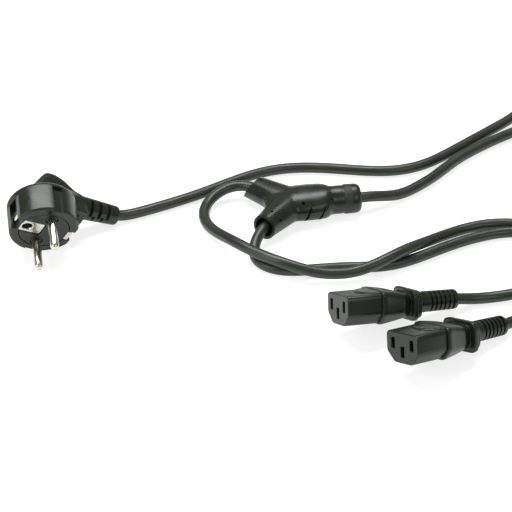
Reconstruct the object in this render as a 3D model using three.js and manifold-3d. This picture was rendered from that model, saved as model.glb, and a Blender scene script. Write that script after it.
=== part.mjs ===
// A power cord splitter: an angled earthed plug, a feed cord, a moulded Y joint and two branch cords that
// each end in a cable socket. Millimetres, +Z up. The origin is under the middle of the Y joint, on the
// surface that everything lies on, and +X runs along its stem towards the feed cord.
import * as THREE from "three";
import { mergeVertices } from "three/addons/utils/BufferGeometryUtils.js";
import Module from "manifold-3d";

const wasm = await Module();
wasm.setup();

// Cord: a round three-core lead in a plain jacket.
const CORD_D = 6;
const GAP = 0.3; // clearance between two pieces that touch
const MOUTH_FLARE = 0.8; // how much wider the bore is where a cord comes out
const CORD_SIDES = 10;
const CORD_STEP = 15; // length of one step of a cord tube
const CORE_D = 2.1; // one insulated core
const CORE_START = 1.2; // from the cut end of a cord to its bare cores
const CORE_RING = 1.55; // from the cord's axis to the middle of a core
const LANE = CORD_D + 0.2; // spacing of the turns of a coil

// Y joint: a flattened stem, two round branches and the bores for the three cords.
const Y_AXIS_Z = 8.5;
const Y_HALF_ANGLE = 47; // between a branch and the stem's axis, degrees
const BRANCH_LENGTH = 30.6;
const BRANCH_END_D = 13.2;
const BRANCH_ROOT_D = 14.8;
const STEM_LENGTH = 38.3;
const STEM_WIDTH = 22.5;
const STEM_THICK = 17;
const SHOULDER_X = 22; // where the wide stem ends, from the junction
const NECK_D = 15;
const RING_D = 16.2;
const RING_LENGTH = 8.9;
const RIM_WALL = 1.4; // wall round the recess in a branch end
const RECESS_DEPTH = 6;
const STEM_SLOTS = [9.3, 17.6]; // places of the two flex slots, from the junction
const SLOT_WIDTH = 1.1;
const SLOT_DEPTH = 1.5;
const WEB_REACH = 15.5; // how far the web in the crotch reaches from the junction
const PIN_MARK_D = 1.3;
const CRIMP_D = 3.2;
const CRIMP_LENGTH = 9;
const CRIMP_PITCH = 3.5; // the three joints lie over each other

// Plug: an angled earthed plug with two round pins, side earth clips and a hole for an earth pin.
const PLUG_D = 37.6;
const PLUG_FLAT = 17.4; // distance from the middle to the flats that carry the earth clips
const DRUM_DEPTH = 17; // part of the plug that goes into the wall socket
const DOME_RISE = 5.5; // how far the dome stands out behind the drum
const DOME_DEPTH = DRUM_DEPTH + DOME_RISE;
const GRIP_DEPTH = 35; // face to the top of the finger grip
const GRIP_WIDTH = 11.5;
const GRIP_FRONT = 9.5; // where the grip starts, from the axis of the plug
const GRIP_KNEE = 27; // depths of the grip's back, from its start to the cord
const GRIP_BROW = 30.3;
const GRIP_SHOULDER = 30.4;
const GRIP_HEEL = 28;
const PIN_D = 4.8;
const PIN_LENGTH = 19;
const PIN_PITCH = 19;
const EARTH_OFFSET = 10;
const EARTH_HOLE_D = 5;
const CLIP_WIDTH = 5.6;
const CLIP_THICK = 0.8;
const GUIDE_WIDTH = 5.5;
const GUIDE_DEPTH = 1.6;
const BRIDGE_D = 27;
const BRIDGE_THICK = 7;
const CORD_BACK = 22; // from the plug's face back to the axis of its cord
const RELIEF_MIDDLE = 30; // a point on the cord's straight stretch
const RELIEF_REACH = 46.5; // from the plug's middle to the end of its strain relief
const RELIEF_ROOT_D = 14.5;
const RELIEF_END_D = 10.6;
const RELIEF_SLOT_PITCH = 5.6;

// Cable socket: a flat-sided front block with two clipped corners, and the moulded grip behind it.
const SOCKET_W = 24;
const SOCKET_H = 16;
const SOCKET_CHAMFER = 5.5;
const SOCKET_DEPTH = 19; // front block, face to shoulder
const SLOT_PITCH = 14; // between the line and neutral slots
const EARTH_DROP = 4; // earth slot below the other two
const SLOT_H = 5.4;
const SLOT_W = 2.5;
const SLOT_ROW_Y = 2.1;
const SHOULDER_FLARE = 1.5;
const GRIP_TAPER = 2.2;
const FLANGE_Z = 33.5; // face to the front of the flange
const FLANGE_THICK = 3.4;
const FLANGE_W = 26.5;
const FLANGE_H = 18.5;
const COLLAR_LENGTH = 3.8;
const SOCKET_LENGTH = 68; // face to the end of the strain relief
const TAIL_D = 11.2;
const TAIL_END_D = 10.4;
const TAIL_LENGTH = 28; // from the grip's back to the end of the strain relief
const TAIL_BED = 24; // how far the grip's waist stops short of the socket's end
const SOCKET_CORD_REACH = 23; // length of cord held in the strain relief
const WAIST_W = 15;
const TAIL_RINGS = 6;
const TAIL_RING_PITCH = 2.6;
const FACE_WALL = 2.4; // plastic in front of the contacts
const CONTACT_W = 3;
const CONTACT_H = 5;
const CONTACT_WALL = 0.5;

// Places of the plug and the sockets on the surface, with the way each face looks, in degrees.
const PLUG_PLACE = { x: -144.4, y: -17.6, yaw: -90.6, pitch: -19.3, roll: 62.1 };
const SOCKET_PLACES = {
  b: { x: -2.7, y: -113.5, yaw: -167.1, pitch: 9.7, roll: 26 },
  a: { x: 22.3, y: -152.3, yaw: -153.7, pitch: 12.1, roll: 21.5 },
};

// Coils: the lengths that are put away, wound and tied.
const FEED_COIL = { x: 189.6, y: 101.9, r: 33, tie: 20 };
const BRANCH_COIL = { x: 142.3, y: -76.7, r: 30, tie: 0 };
const TIE_WIDTH = 4;
const TIE_THICK = 1;
const TIE_TAIL = 11;
const TIE_TWISTS = 8;

const PLASTIC = 0x1d211e;
const NICKEL = 0xc9c6bb;
const BRASS = 0xb08d4a;

const root = new THREE.Group();
const deg = THREE.MathUtils.degToRad;

function material(colour, roughness, metalness) {
  return new THREE.MeshStandardMaterial({ color: colour, roughness, metalness });
}

// A closed three.js geometry as a solid.
function solid(geometry) {
  const bare = geometry.index ? geometry.toNonIndexed() : geometry.clone();
  bare.deleteAttribute("normal");
  bare.deleteAttribute("uv");
  const merged = mergeVertices(bare, 1e-4);
  return new wasm.Manifold(
    new wasm.Mesh({
      numProp: 3,
      vertProperties: merged.attributes.position.array,
      triVerts: new Uint32Array(merged.index.array),
    }),
  );
}

// A solid as a named mesh in a group.
function addMesh(group, name, made, look) {
  const m = made.getMesh();
  const geometry = new THREE.BufferGeometry();
  const points = new Float32Array(m.numVert * 3);
  for (let i = 0; i < m.numVert; i++)
    for (let k = 0; k < 3; k++) points[3 * i + k] = m.vertProperties[i * m.numProp + k];
  geometry.setAttribute("position", new THREE.BufferAttribute(points, 3));
  geometry.setIndex(new THREE.BufferAttribute(new Uint32Array(m.triVerts), 1));
  geometry.computeVertexNormals();
  const mesh = new THREE.Mesh(geometry, look);
  mesh.name = name;
  group.add(mesh);
  return mesh;
}

function join(first, ...others) {
  return others.reduce((all, one) => all.add(one), first);
}

function cut(first, ...others) {
  return others.reduce((all, one) => all.subtract(one), first);
}

// A polygon with each corner rounded: corners are [x, y, radius], steps points round each one.
function roundedPolygon(corners, steps = 3) {
  const out = [];
  corners.forEach(([x, y, r], i) => {
    const from = new THREE.Vector2(...corners.at(i - 1).slice(0, 2));
    const to = new THREE.Vector2(...corners[(i + 1) % corners.length].slice(0, 2));
    const at = new THREE.Vector2(x, y);
    const a = at.clone().add(from.sub(at).setLength(r));
    const b = at.clone().add(to.sub(at).setLength(r));
    const curve = new THREE.QuadraticBezierCurve(a, at, b);
    for (let k = 0; k <= steps; k++) out.push(curve.getPoint(k / steps));
  });
  return out;
}

function roundedBox(w, h, r, steps = 3) {
  return roundedPolygon(
    [[w / 2, h / 2, r], [-w / 2, h / 2, r], [-w / 2, -h / 2, r], [w / 2, -h / 2, r]],
    steps,
  );
}

function ellipse(w, h, count = 24) {
  const out = [];
  for (let k = 0; k < count; k++) {
    const t = (2 * Math.PI * k) / count;
    out.push(new THREE.Vector2((w / 2) * Math.cos(t), (h / 2) * Math.sin(t)));
  }
  return out;
}

// A solid through a row of sections, each { at, points }, with at rising along +Z and flat ends.
function loft(sections) {
  const n = sections[0].points.length;
  const position = [];
  for (const s of sections) for (const p of s.points) position.push(p.x, p.y, s.at);
  const index = [];
  for (let k = 0; k + 1 < sections.length; k++)
    for (let i = 0; i < n; i++) {
      const a = k * n + i;
      const b = k * n + ((i + 1) % n);
      index.push(a, b, b + n, a, b + n, a + n);
    }
  const last = (sections.length - 1) * n;
  for (const [p1, p2, p3] of THREE.ShapeUtils.triangulateShape(sections[0].points, []))
    index.push(p1, p3, p2);
  for (const [p1, p2, p3] of THREE.ShapeUtils.triangulateShape(sections.at(-1).points, []))
    index.push(last + p1, last + p2, last + p3);
  const geometry = new THREE.BufferGeometry();
  geometry.setAttribute("position", new THREE.Float32BufferAttribute(position, 3));
  geometry.setIndex(index);
  return solid(geometry);
}

// A turned solid: profile is [radius, z] from the axis and back to it.
function turned(profile, segments = 24) {
  const geometry = new THREE.LatheGeometry(profile.map(([r, z]) => new THREE.Vector2(r, z)), segments);
  geometry.rotateX(Math.PI / 2);
  const made = solid(geometry);
  if (made.volume() > 0) return made;
  return turned([...profile].reverse(), segments);
}

function cylinder(d, from, to, segments = 16) {
  const geometry = new THREE.CylinderGeometry(d / 2, d / 2, to - from, segments);
  geometry.rotateX(Math.PI / 2);
  geometry.translate(0, 0, (from + to) / 2);
  return solid(geometry);
}

// A box between two corners.
function box(x0, x1, y0, y1, z0, z1) {
  const geometry = new THREE.BoxGeometry(x1 - x0, y1 - y0, z1 - z0);
  geometry.translate((x0 + x1) / 2, (y0 + y1) / 2, (z0 + z1) / 2);
  return solid(geometry);
}

// A cord's bore from its inner end to its mouth, which opens a little so that the cord can bend there.
function cordBore(inner, outer, flare) {
  const r = CORD_D / 2 + GAP;
  return turned([[0, inner], [r, inner], [r, inner + 2], [r + flare, outer], [0, outer]], 16);
}

// Moves a solid that was made along +Z so that it points along a direction from a place.
function aim(made, direction, from = [0, 0, 0]) {
  const turn = new THREE.Quaternion().setFromUnitVectors(
    new THREE.Vector3(0, 0, 1),
    new THREE.Vector3(...direction).normalize(),
  );
  const m = new THREE.Matrix4().compose(new THREE.Vector3(...from), turn, new THREE.Vector3(1, 1, 1));
  return made.transform(m.elements);
}

// A flat outline pushed along +Z from one height to another, with an optional small bevel.
function plate(points, from, to, bevel = 0) {
  const geometry = new THREE.ExtrudeGeometry(new THREE.Shape(points), {
    depth: to - from - 2 * bevel,
    bevelEnabled: bevel > 0,
    bevelSize: bevel,
    bevelThickness: bevel,
    bevelOffset: -bevel,
    bevelSegments: 1,
    steps: 1,
  });
  geometry.translate(0, 0, from + bevel);
  return solid(geometry);
}

const BLACK = material(PLASTIC, 0.45, 0);
const JACKET = material(0x2a2e2b, 0.5, 0);
const PLATED = material(NICKEL, 0.22, 1);
const CONTACT = material(BRASS, 0.3, 1);

// Y joint. Its local frame has the junction of the three axes at the origin, and the group puts
// the middle of the moulding over the part's origin.
const branchDirection = (side) => [
  -Math.cos(deg(Y_HALF_ANGLE)),
  side * Math.sin(deg(Y_HALF_ANGLE)),
  0,
];
const yBack = BRANCH_LENGTH * Math.cos(deg(Y_HALF_ANGLE)) + (BRANCH_END_D / 2) * Math.sin(deg(Y_HALF_ANGLE));
const yJoint = new THREE.Group();
yJoint.position.set((yBack - STEM_LENGTH) / 2, 0, Y_AXIS_Z);
root.add(yJoint);

function stemLoft() {
  const neckEnd = STEM_LENGTH - RING_LENGTH;
  const stations = [
    [-10, 15, 12.5],
    [-5, 20, 15],
    [0, STEM_WIDTH, STEM_THICK - 0.6],
    [7, STEM_WIDTH + 0.2, STEM_THICK],
    [SHOULDER_X - 4, STEM_WIDTH - 0.6, STEM_THICK],
    [SHOULDER_X - 1.4, STEM_WIDTH - 2, STEM_THICK - 0.8],
    [SHOULDER_X, NECK_D + 3, NECK_D + 0.6],
    [SHOULDER_X + 0.8, NECK_D, NECK_D],
    [neckEnd - 0.4, NECK_D, NECK_D],
    [neckEnd, RING_D, RING_D],
    [STEM_LENGTH - 4, RING_D, RING_D],
    [STEM_LENGTH - 1.6, RING_D - 1.4, RING_D - 1.4],
    [STEM_LENGTH - 0.4, RING_D - 4, RING_D - 4],
    [STEM_LENGTH, RING_D - 6, RING_D - 6],
  ];
  const made = loft(stations.map(([at, w, h]) => ({ at, points: ellipse(h, w, 28) })));
  return made.rotate([0, 90, 0]);
}

function branchLoft(side) {
  const stations = [
    [0, BRANCH_ROOT_D + 1.4, BRANCH_ROOT_D + 0.6],
    [8, BRANCH_ROOT_D + 0.8, BRANCH_ROOT_D],
    [BRANCH_LENGTH * 0.6, BRANCH_END_D + 0.7, BRANCH_END_D + 0.5],
    [BRANCH_LENGTH - 0.8, BRANCH_END_D, BRANCH_END_D],
    [BRANCH_LENGTH, BRANCH_END_D - 1, BRANCH_END_D - 1],
  ];
  const made = loft(stations.map(([at, w, h]) => ({ at, points: ellipse(h, w, 24) })));
  return made.rotate([0, -90, 0]).rotate([0, 0, -side * Y_HALF_ANGLE]);
}

// The smooth web that fills the crotch between the branches.
function webLoft() {
  const half = (x) => x * Math.tan(deg(Y_HALF_ANGLE));
  const stations = [
    [0, 2 * half(8), BRANCH_ROOT_D - 1],
    [WEB_REACH * 0.6, 2 * half(WEB_REACH * 0.6), BRANCH_ROOT_D - 2.5],
    [WEB_REACH, 2 * half(WEB_REACH * 0.8), BRANCH_ROOT_D - 5],
  ];
  const made = loft(stations.map(([at, w, h]) => ({ at, points: ellipse(h, w, 16) })));
  return made.rotate([0, -90, 0]);
}

const feedEntry = SHOULDER_X - 4; // where the feed cord ends inside the stem
const branchEntry = BRANCH_LENGTH - 13; // where a branch cord ends inside its branch
const crimpMiddle = 2;

// Seats of the three cores in a cord: across it and up, from its axis.
const coreSeats = {
  line: [0, CORE_RING],
  neutral: [-CORE_RING * Math.cos(Math.PI / 6), -CORE_RING / 2],
  earth: [CORE_RING * Math.cos(Math.PI / 6), -CORE_RING / 2],
};
const spliceLevels = { line: CRIMP_PITCH, neutral: 0, earth: -CRIMP_PITCH };

// A straight piece of one core between two points; a grown one also reaches further at both ends.
function core(from, to, grow) {
  const way = to.map((v, k) => v - from[k]);
  return aim(cylinder(CORE_D + 2 * grow, -2 * grow, Math.hypot(...way) + 2 * grow, 8), way, from);
}

// One crimped joint: a barrel with the feed core on one side and the two branch cores on the other.
function splice(pole, grow) {
  const level = spliceLevels[pole];
  const [across, up] = coreSeats[pole];
  const half = CRIMP_LENGTH / 2;
  const barrel = cylinder(CRIMP_D + 2 * grow, -half - grow, half + grow, 10);
  const made = [
    aim(barrel, [1, 0, 0], [crimpMiddle, 0, level]),
    core([crimpMiddle + half - 1, 0, level], [feedEntry - GAP, across, up], grow),
  ];
  for (const side of [1, -1]) {
    const [dx, dy] = branchDirection(side);
    const reach = branchEntry - GAP;
    const end = [dx * reach - dy * across, dy * reach + dx * across, up];
    made.push(core([crimpMiddle - half + 1, 0, level], end, grow));
  }
  return join(...made);
}

function yBody() {
  const halfWide = STEM_WIDTH / 2;
  const cuts = [aim(cordBore(feedEntry, STEM_LENGTH + 1, MOUTH_FLARE), [1, 0, 0])];
  for (const side of [1, -1]) {
    const way = branchDirection(side);
    cuts.push(aim(cordBore(branchEntry, BRANCH_LENGTH - RECESS_DEPTH + 1, 1.2 * MOUTH_FLARE), way));
    const recess = BRANCH_END_D - 2 * RIM_WALL;
    cuts.push(aim(cylinder(recess, BRANCH_LENGTH - RECESS_DEPTH, BRANCH_LENGTH + 1, 24), way));
    for (const at of STEM_SLOTS) {
      const y0 = side * (halfWide - SLOT_DEPTH);
      const y1 = side * (halfWide + 1);
      cuts.push(box(at - SLOT_WIDTH / 2, at + SLOT_WIDTH / 2, Math.min(y0, y1), Math.max(y0, y1),
        -STEM_THICK * 0.28, STEM_THICK * 0.36));
    }
    const mark = (x, y, depth) => aim(cylinder(PIN_MARK_D, depth, 12, 8), [0, 0, 1], [x, y, 0]);
    cuts.push(mark(5.5, side * 6.4, STEM_THICK / 2 - 2.6));
    const [dx, dy] = way;
    cuts.push(mark(dx * 20 + dy * 3.4, dy * 20 - dx * 3.4, BRANCH_END_D / 2 - 2.4));
    cuts.push(mark(dx * 20 - dy * 3.4, dy * 20 + dx * 3.4, BRANCH_END_D / 2 - 2.4));
  }
  for (const pole of Object.keys(spliceLevels)) cuts.push(splice(pole, GAP));
  const shell = join(stemLoft(), branchLoft(1), branchLoft(-1), webLoft());
  return cut(shell, ...cuts);
}

addMesh(yJoint, "y_moulding", yBody(), BLACK);
for (const pole of Object.keys(spliceLevels))
  addMesh(yJoint, "y_splice_" + pole, splice(pole, 0), CONTACT);

// A frame for a plug or socket: local x across the face, y up the face, z out of the face.
function faceFrame(place) {
  const outer = new THREE.Group();
  outer.position.set(place.x, place.y, 0);
  outer.rotation.z = deg(place.yaw);
  const tilt = new THREE.Group();
  tilt.rotation.y = -deg(place.pitch);
  const spin = new THREE.Group();
  spin.rotation.x = deg(place.roll);
  const face = new THREE.Group();
  face.setRotationFromMatrix(new THREE.Matrix4().makeBasis(
    new THREE.Vector3(0, 1, 0), new THREE.Vector3(0, 0, 1), new THREE.Vector3(1, 0, 0)));
  outer.add(tilt);
  tilt.add(spin);
  spin.add(face);
  root.add(outer);
  return { outer, face };
}

// Lowers or lifts a frame until its lowest solid lies on the surface.
function rest(frame) {
  frame.outer.updateMatrixWorld(true);
  const low = new THREE.Box3().setFromObject(frame.outer, true).min.z;
  frame.outer.position.z -= low;
  frame.outer.updateMatrixWorld(true);
}

// Plug.
const plug = faceFrame(PLUG_PLACE);

function plugDrum() {
  const r = PLUG_D / 2;
  const corner = Math.sqrt(r * r - PLUG_FLAT * PLUG_FLAT);
  const turn = Math.atan2(PLUG_FLAT, corner);
  const points = [];
  for (const [from, to] of [[-turn, turn], [Math.PI - turn, Math.PI + turn]])
    for (let k = 0; k <= 12; k++) {
      const t = from + ((to - from) * k) / 12;
      points.push(new THREE.Vector2(r * Math.cos(t), r * Math.sin(t)));
    }
  return plate(points, -DRUM_DEPTH, 0, 0.7);
}

function plugDome() {
  const r = PLUG_D / 2;
  return turned([
    [0, -DRUM_DEPTH + 2],
    [r - 0.1, -DRUM_DEPTH + 2],
    [r - 0.1, -DRUM_DEPTH],
    [r - 0.8, -DRUM_DEPTH - 1.8],
    [r - 3.2, -DRUM_DEPTH - 3.6],
    [r - 7.5, -DOME_DEPTH + 0.7],
    [0, -DOME_DEPTH],
  ], 32);
}

// The finger grip: a thick rib over the back, highest near the middle, that runs down to the cord.
function plugGrip() {
  const profile = [
    [GRIP_FRONT, -DRUM_DEPTH], [GRIP_FRONT - 0.7, -DOME_DEPTH + 0.4], [3, -GRIP_KNEE], [0, -GRIP_BROW],
    [-3, -GRIP_DEPTH + 1], [-6, -GRIP_DEPTH], [-14, -GRIP_DEPTH + 2.4], [-17.5, -GRIP_SHOULDER], [-20, -GRIP_HEEL - 0.6],
    [-23, -GRIP_HEEL], [-23, -DRUM_DEPTH],
  ].map(([y, z]) => new THREE.Vector2(y, z));
  const made = plate(profile, -GRIP_WIDTH / 2, GRIP_WIDTH / 2, 2.4);
  return made.transform(new THREE.Matrix4().makeBasis(
    new THREE.Vector3(0, 1, 0), new THREE.Vector3(0, 0, 1), new THREE.Vector3(1, 0, 0)).elements);
}

// The tapered strain relief, with slots on alternate sides that let it bend.
function plugRelief() {
  const root0 = 8;
  const stations = [
    [root0, RELIEF_ROOT_D + 5],
    [PLUG_D / 2 - 2, RELIEF_ROOT_D + 2.2],
    [25, RELIEF_ROOT_D - 1],
    [RELIEF_REACH - 16, RELIEF_END_D + 2],
    [RELIEF_REACH - 2, RELIEF_END_D + 0.2],
    [RELIEF_REACH, RELIEF_END_D - 2.4],
  ];
  const tube = loft(stations.map(([at, d]) => ({ at, points: ellipse(d, d, 20) })));
  const cuts = [];
  for (let k = 0; k < 3; k++) {
    const at = RELIEF_REACH - 4.2 - k * RELIEF_SLOT_PITCH;
    const offset = at - RELIEF_SLOT_PITCH / 2;
    for (const side of [1, -1]) {
      const near = side * (CORD_D / 2 + 1);
      cuts.push(box(Math.min(near, side * 12), Math.max(near, side * 12), -4.2, 4.2, at - 0.9, at + 0.9));
      cuts.push(box(-3, 3, Math.min(near, side * 12), Math.max(near, side * 12), offset - 0.6, offset + 0.6));
    }
  }
  return aim(cut(tube, ...cuts), [0, -1, 0], [0, 0, -CORD_BACK]);
}

// The metal earth contact: a plate in the face with the hole for an earth pin, its sleeve behind, and
// a strip across the back of the bridge that ends in the two side clips.
const STRIP_Z = -BRIDGE_THICK - 1.2;
const PIN_TAIL_Z = -BRIDGE_THICK - 4;
function earthContact(grow) {
  const half = 4.1 + grow;
  const clip = (side) => {
    const inner = side * (PLUG_FLAT - 1.3 - grow);
    const outer = side * (PLUG_FLAT - 1.3 + CLIP_THICK + grow);
    return box(-CLIP_WIDTH / 2 - grow, CLIP_WIDTH / 2 + grow, Math.min(inner, outer), Math.max(inner, outer),
      STRIP_Z - CLIP_THICK - grow, -0.9 + grow);
  };
  const strip = box(-CLIP_WIDTH / 2 - grow, CLIP_WIDTH / 2 + grow, -PLUG_FLAT + 0.6 - grow, PLUG_FLAT - 0.6 + grow,
    STRIP_Z - CLIP_THICK - grow, STRIP_Z + grow);
  const face = plate([[-half, 1.2 - grow], [half, 1.2 - grow], [half, 15 + grow], [-half, 15 + grow]]
    .map(([x, y]) => new THREE.Vector2(x, y)), -1.2 - grow, -0.05 + grow);
  const sleeve = cylinder(EARTH_HOLE_D + 1.6 + 2 * grow, STRIP_Z - 0.4, -0.8).translate([0, EARTH_OFFSET, 0]);
  return join(strip, face, sleeve, clip(1), clip(-1));
}

// One pin with its rounded tip, a flange that the bridge holds and a crimp tail behind.
function plugPin(grow) {
  const r = PIN_D / 2 + grow;
  return turned([
    [0, PIN_LENGTH + grow], [r * 0.5, PIN_LENGTH - 0.4 + grow], [r * 0.87, PIN_LENGTH - 1.3], [r, PIN_LENGTH - 2.5],
    [r, -3 + grow], [r + 0.9, -3 + grow], [r + 0.9, -5 - grow], [r, -5 - grow], [r - 0.2, PIN_TAIL_Z - grow],
    [0, PIN_TAIL_Z - grow],
  ], 16);
}

function plugBridge(grow) {
  return plate(ellipse(BRIDGE_D + 2 * grow, BRIDGE_D + 2 * grow, 28), -BRIDGE_THICK - grow, -0.1 + (grow ? 1 : 0));
}

const pinPlaces = [PIN_PITCH / 2, -PIN_PITCH / 2];
const earthHole = cylinder(EARTH_HOLE_D, -16, 2).translate([0, EARTH_OFFSET, 0]);

function plugBody() {
  const outer = join(plugDrum(), plugDome(), plugGrip(), plugRelief());
  const bore = aim(cordBore(plugCordEnd - 1, RELIEF_REACH + 1, MOUTH_FLARE), [0, -1, 0], [0, 0, -CORD_BACK]);
  const cuts = [bore, plugBridge(GAP), earthContact(GAP)];
  const r = PLUG_D / 2;
  for (const side of [1, -1]) {
    const groove = [side * (r - GUIDE_DEPTH), side * (r + 1)];
    cuts.push(box(Math.min(...groove), Math.max(...groove), -GUIDE_WIDTH / 2, GUIDE_WIDTH / 2, -DRUM_DEPTH + 1, 1));
    const slot = [side * (PLUG_FLAT - 1.3 - GAP), side * (PLUG_FLAT + 3)];
    const half = CLIP_WIDTH / 2 + 0.9;
    cuts.push(box(-half, half, Math.min(...slot), Math.max(...slot), -DRUM_DEPTH + 2.5, 1));
  }
  for (const x of pinPlaces) cuts.push(plugPin(GAP).translate([x, 0, 0]));
  for (const pole of Object.keys(coreSeats)) cuts.push(plugCore(pole, GAP));
  cuts.push(earthHole);
  return cut(outer, ...cuts);
}

// A core from the end of the cord to its contact, inside the moulding.
const plugCordEnd = 14;
const coreEnds = {
  line: [PIN_PITCH / 2, 0, PIN_TAIL_Z - 1.4],
  neutral: [-PIN_PITCH / 2, 0, PIN_TAIL_Z - 1.4],
  earth: [0, -3, STRIP_Z - CLIP_THICK - 1.4],
};
function plugCore(pole, grow) {
  const [x, y] = { line: coreSeats.earth, neutral: coreSeats.neutral, earth: coreSeats.line }[pole];
  return core([x, CORE_START - plugCordEnd, y - CORD_BACK], coreEnds[pole], grow);
}

addMesh(plug.face, "plug_body", plugBody(), BLACK);
addMesh(plug.face, "plug_bridge", cut(plugBridge(0), earthContact(GAP), earthHole,
  ...pinPlaces.map((x) => plugPin(GAP).translate([x, 0, 0]))), BLACK);
pinPlaces.forEach((x, k) => {
  addMesh(plug.face, ["plug_pin_line", "plug_pin_neutral"][k], plugPin(0).translate([x, 0, 0]), PLATED);
});
for (const pole of Object.keys(coreSeats))
  addMesh(plug.face, "plug_core_" + pole, plugCore(pole, 0), CONTACT);
addMesh(plug.face, "plug_earth_contact", cut(earthContact(0), earthHole), PLATED);

// Cable sockets.
function socketOutline(w, h, chamfer, rTop, rLow) {
  const x = w / 2;
  const y = h / 2;
  return roundedPolygon([
    [x, y, rTop], [-x, y, rTop], [-x, -y + chamfer, rLow], [-x + chamfer, -y, rLow],
    [x - chamfer, -y, rLow], [x, -y + chamfer, rLow],
  ], 2);
}

const slotPlaces = {
  line: [SLOT_PITCH / 2, SLOT_ROW_Y],
  neutral: [-SLOT_PITCH / 2, SLOT_ROW_Y],
  earth: [0, SLOT_ROW_Y - EARTH_DROP],
};
const TANG_W = SOCKET_W - 3;
const TANG_H = SOCKET_H - 5;
const TANG_END = SOCKET_DEPTH + 7;
const BARREL_END = TANG_END + 3;
const socketCordEnd = SOCKET_LENGTH - SOCKET_CORD_REACH;

// The front block with its contact chambers, and a tang that the grip is moulded round.
function carrierOuter(grow) {
  const front = plate(socketOutline(SOCKET_W, SOCKET_H, SOCKET_CHAMFER, 1.6, 0.8), -SOCKET_DEPTH, 0, 0.7);
  const tang = plate(roundedBox(TANG_W + 2 * grow, TANG_H + 2 * grow, 2), -TANG_END - grow, -SOCKET_DEPTH + 1);
  return grow ? tang : join(front, tang);
}

// One spring contact: two leaves that grip the pin, and a crimp barrel behind them.
function socketContact(grow) {
  const wide = CONTACT_W + 2 * grow;
  const high = CONTACT_H + 2 * grow;
  const body = box(-wide / 2, wide / 2, -high / 2, high / 2, -SOCKET_DEPTH - grow, -FACE_WALL - GAP + grow);
  const barrel = cylinder(CORE_D + 0.8 + 2 * grow, -BARREL_END - grow, -SOCKET_DEPTH + 1, 14);
  if (grow) return join(body, barrel);
  const mouth = CONTACT_W / 2 - CONTACT_WALL;
  return cut(join(body, barrel), box(-mouth, mouth, -high, high, -SOCKET_DEPTH + 2, 0));
}

// The moulded grip: it flares out of the shoulder, tapers back to the flange, and has an arched top.
function socketGrip() {
  const w = SOCKET_W + 2 * SHOULDER_FLARE;
  const h = SOCKET_H + 2 * SHOULDER_FLARE;
  const section = (at, width, height, lift, chamfer, r) => ({
    at: -at,
    points: socketOutline(width, height, chamfer, r, 1.2).map((p) => {
      const arch = p.y > 0 ? lift * (1 - (2 * p.x / width) ** 2) : 0;
      return new THREE.Vector2(p.x, p.y + arch);
    }),
  });
  return loft([
    section(SOCKET_LENGTH - TAIL_BED, WAIST_W, TAIL_D, 0, 3, 3.4),
    section(FLANGE_Z + FLANGE_THICK, 18, TAIL_D + 1, 0, 3, 3.4),
    section(FLANGE_Z, w - 2.6 * GRIP_TAPER, h - 3.2 * GRIP_TAPER, 0.2, 3.4, 3.2),
    section(SOCKET_DEPTH + 8, w - 1.3 * GRIP_TAPER, h - 1.5 * GRIP_TAPER, 0.6, 4.4, 2.6),
    section(SOCKET_DEPTH + 1.6, w, h, 0.6, SOCKET_CHAMFER, 2.4),
    section(SOCKET_DEPTH + 0.5, w - 1, h - 1, 0.5, SOCKET_CHAMFER, 2.2),
    section(SOCKET_DEPTH + GAP, SOCKET_W - 1, SOCKET_H - 1, 0, SOCKET_CHAMFER, 1.6),
  ]);
}

function socketFlange() {
  const front = plate(roundedBox(FLANGE_W, FLANGE_H, 7, 4), -FLANGE_Z - FLANGE_THICK, -FLANGE_Z, 0.9);
  const collarStart = FLANGE_Z + FLANGE_THICK + 1.8;
  const collar = plate(roundedBox(FLANGE_W - 5, FLANGE_H - 3, 6, 4), -collarStart - COLLAR_LENGTH, -collarStart, 0.9);
  const waist = plate(roundedBox(FLANGE_W - 8, FLANGE_H - 6, 5, 4), -collarStart - 0.5, -FLANGE_Z - 1);
  return join(front, waist, collar);
}

// The strain relief: a tapered tube with two windows near its root, ring grooves and an end collar.
function socketTail() {
  const first = SOCKET_LENGTH - 3.2;
  const root = TAIL_LENGTH - SOCKET_LENGTH;
  const profile = [[0, root], [TAIL_D / 2, root]];
  const radius = (z) => TAIL_END_D / 2 + ((TAIL_D - TAIL_END_D) / 2) * ((SOCKET_LENGTH - z) / TAIL_LENGTH);
  for (let k = TAIL_RINGS - 1; k >= 0; k--) {
    const z = first - k * TAIL_RING_PITCH;
    const r = radius(z);
    profile.push([r, -z + 0.6], [r - 1.1, -z + 0.5], [r - 1.1, -z - 0.5], [r, -z - 0.6]);
  }
  profile.push([TAIL_END_D / 2, -SOCKET_LENGTH + 0.8], [TAIL_END_D / 2 - 0.8, -SOCKET_LENGTH], [0, -SOCKET_LENGTH]);
  const tube = turned(profile, 16);
  const at = -SOCKET_LENGTH + 21.2;
  const windows = [];
  for (const side of [1, -1])
    windows.push(box(-TAIL_D, TAIL_D, Math.min(side * 3.9, side * 9), Math.max(side * 3.9, side * 9), at - 1.3, at + 1.3));
  return cut(tube, ...windows);
}

function socketBody() {
  const bore = aim(cordBore(socketCordEnd - 1, SOCKET_LENGTH + 1, MOUTH_FLARE), [0, 0, -1]);
  const outer = join(socketGrip(), socketFlange(), socketTail());
  const cuts = [bore, carrierOuter(GAP)];
  for (const place of Object.values(slotPlaces)) {
    cuts.push(socketContact(GAP).translate([...place, 0]));
    cuts.push(socketCore(place, GAP));
  }
  return cut(outer, ...cuts);
}

// A core from the end of the cord into the barrel of its contact.
function socketCore([x, y], grow) {
  const side = Math.sign(x);
  const seat = side ? [side * coreSeats.earth[0], CORE_RING / 2] : [0, -CORE_RING];
  return core([...seat, CORE_START - socketCordEnd], [x, y, 1 - BARREL_END], grow);
}

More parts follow.
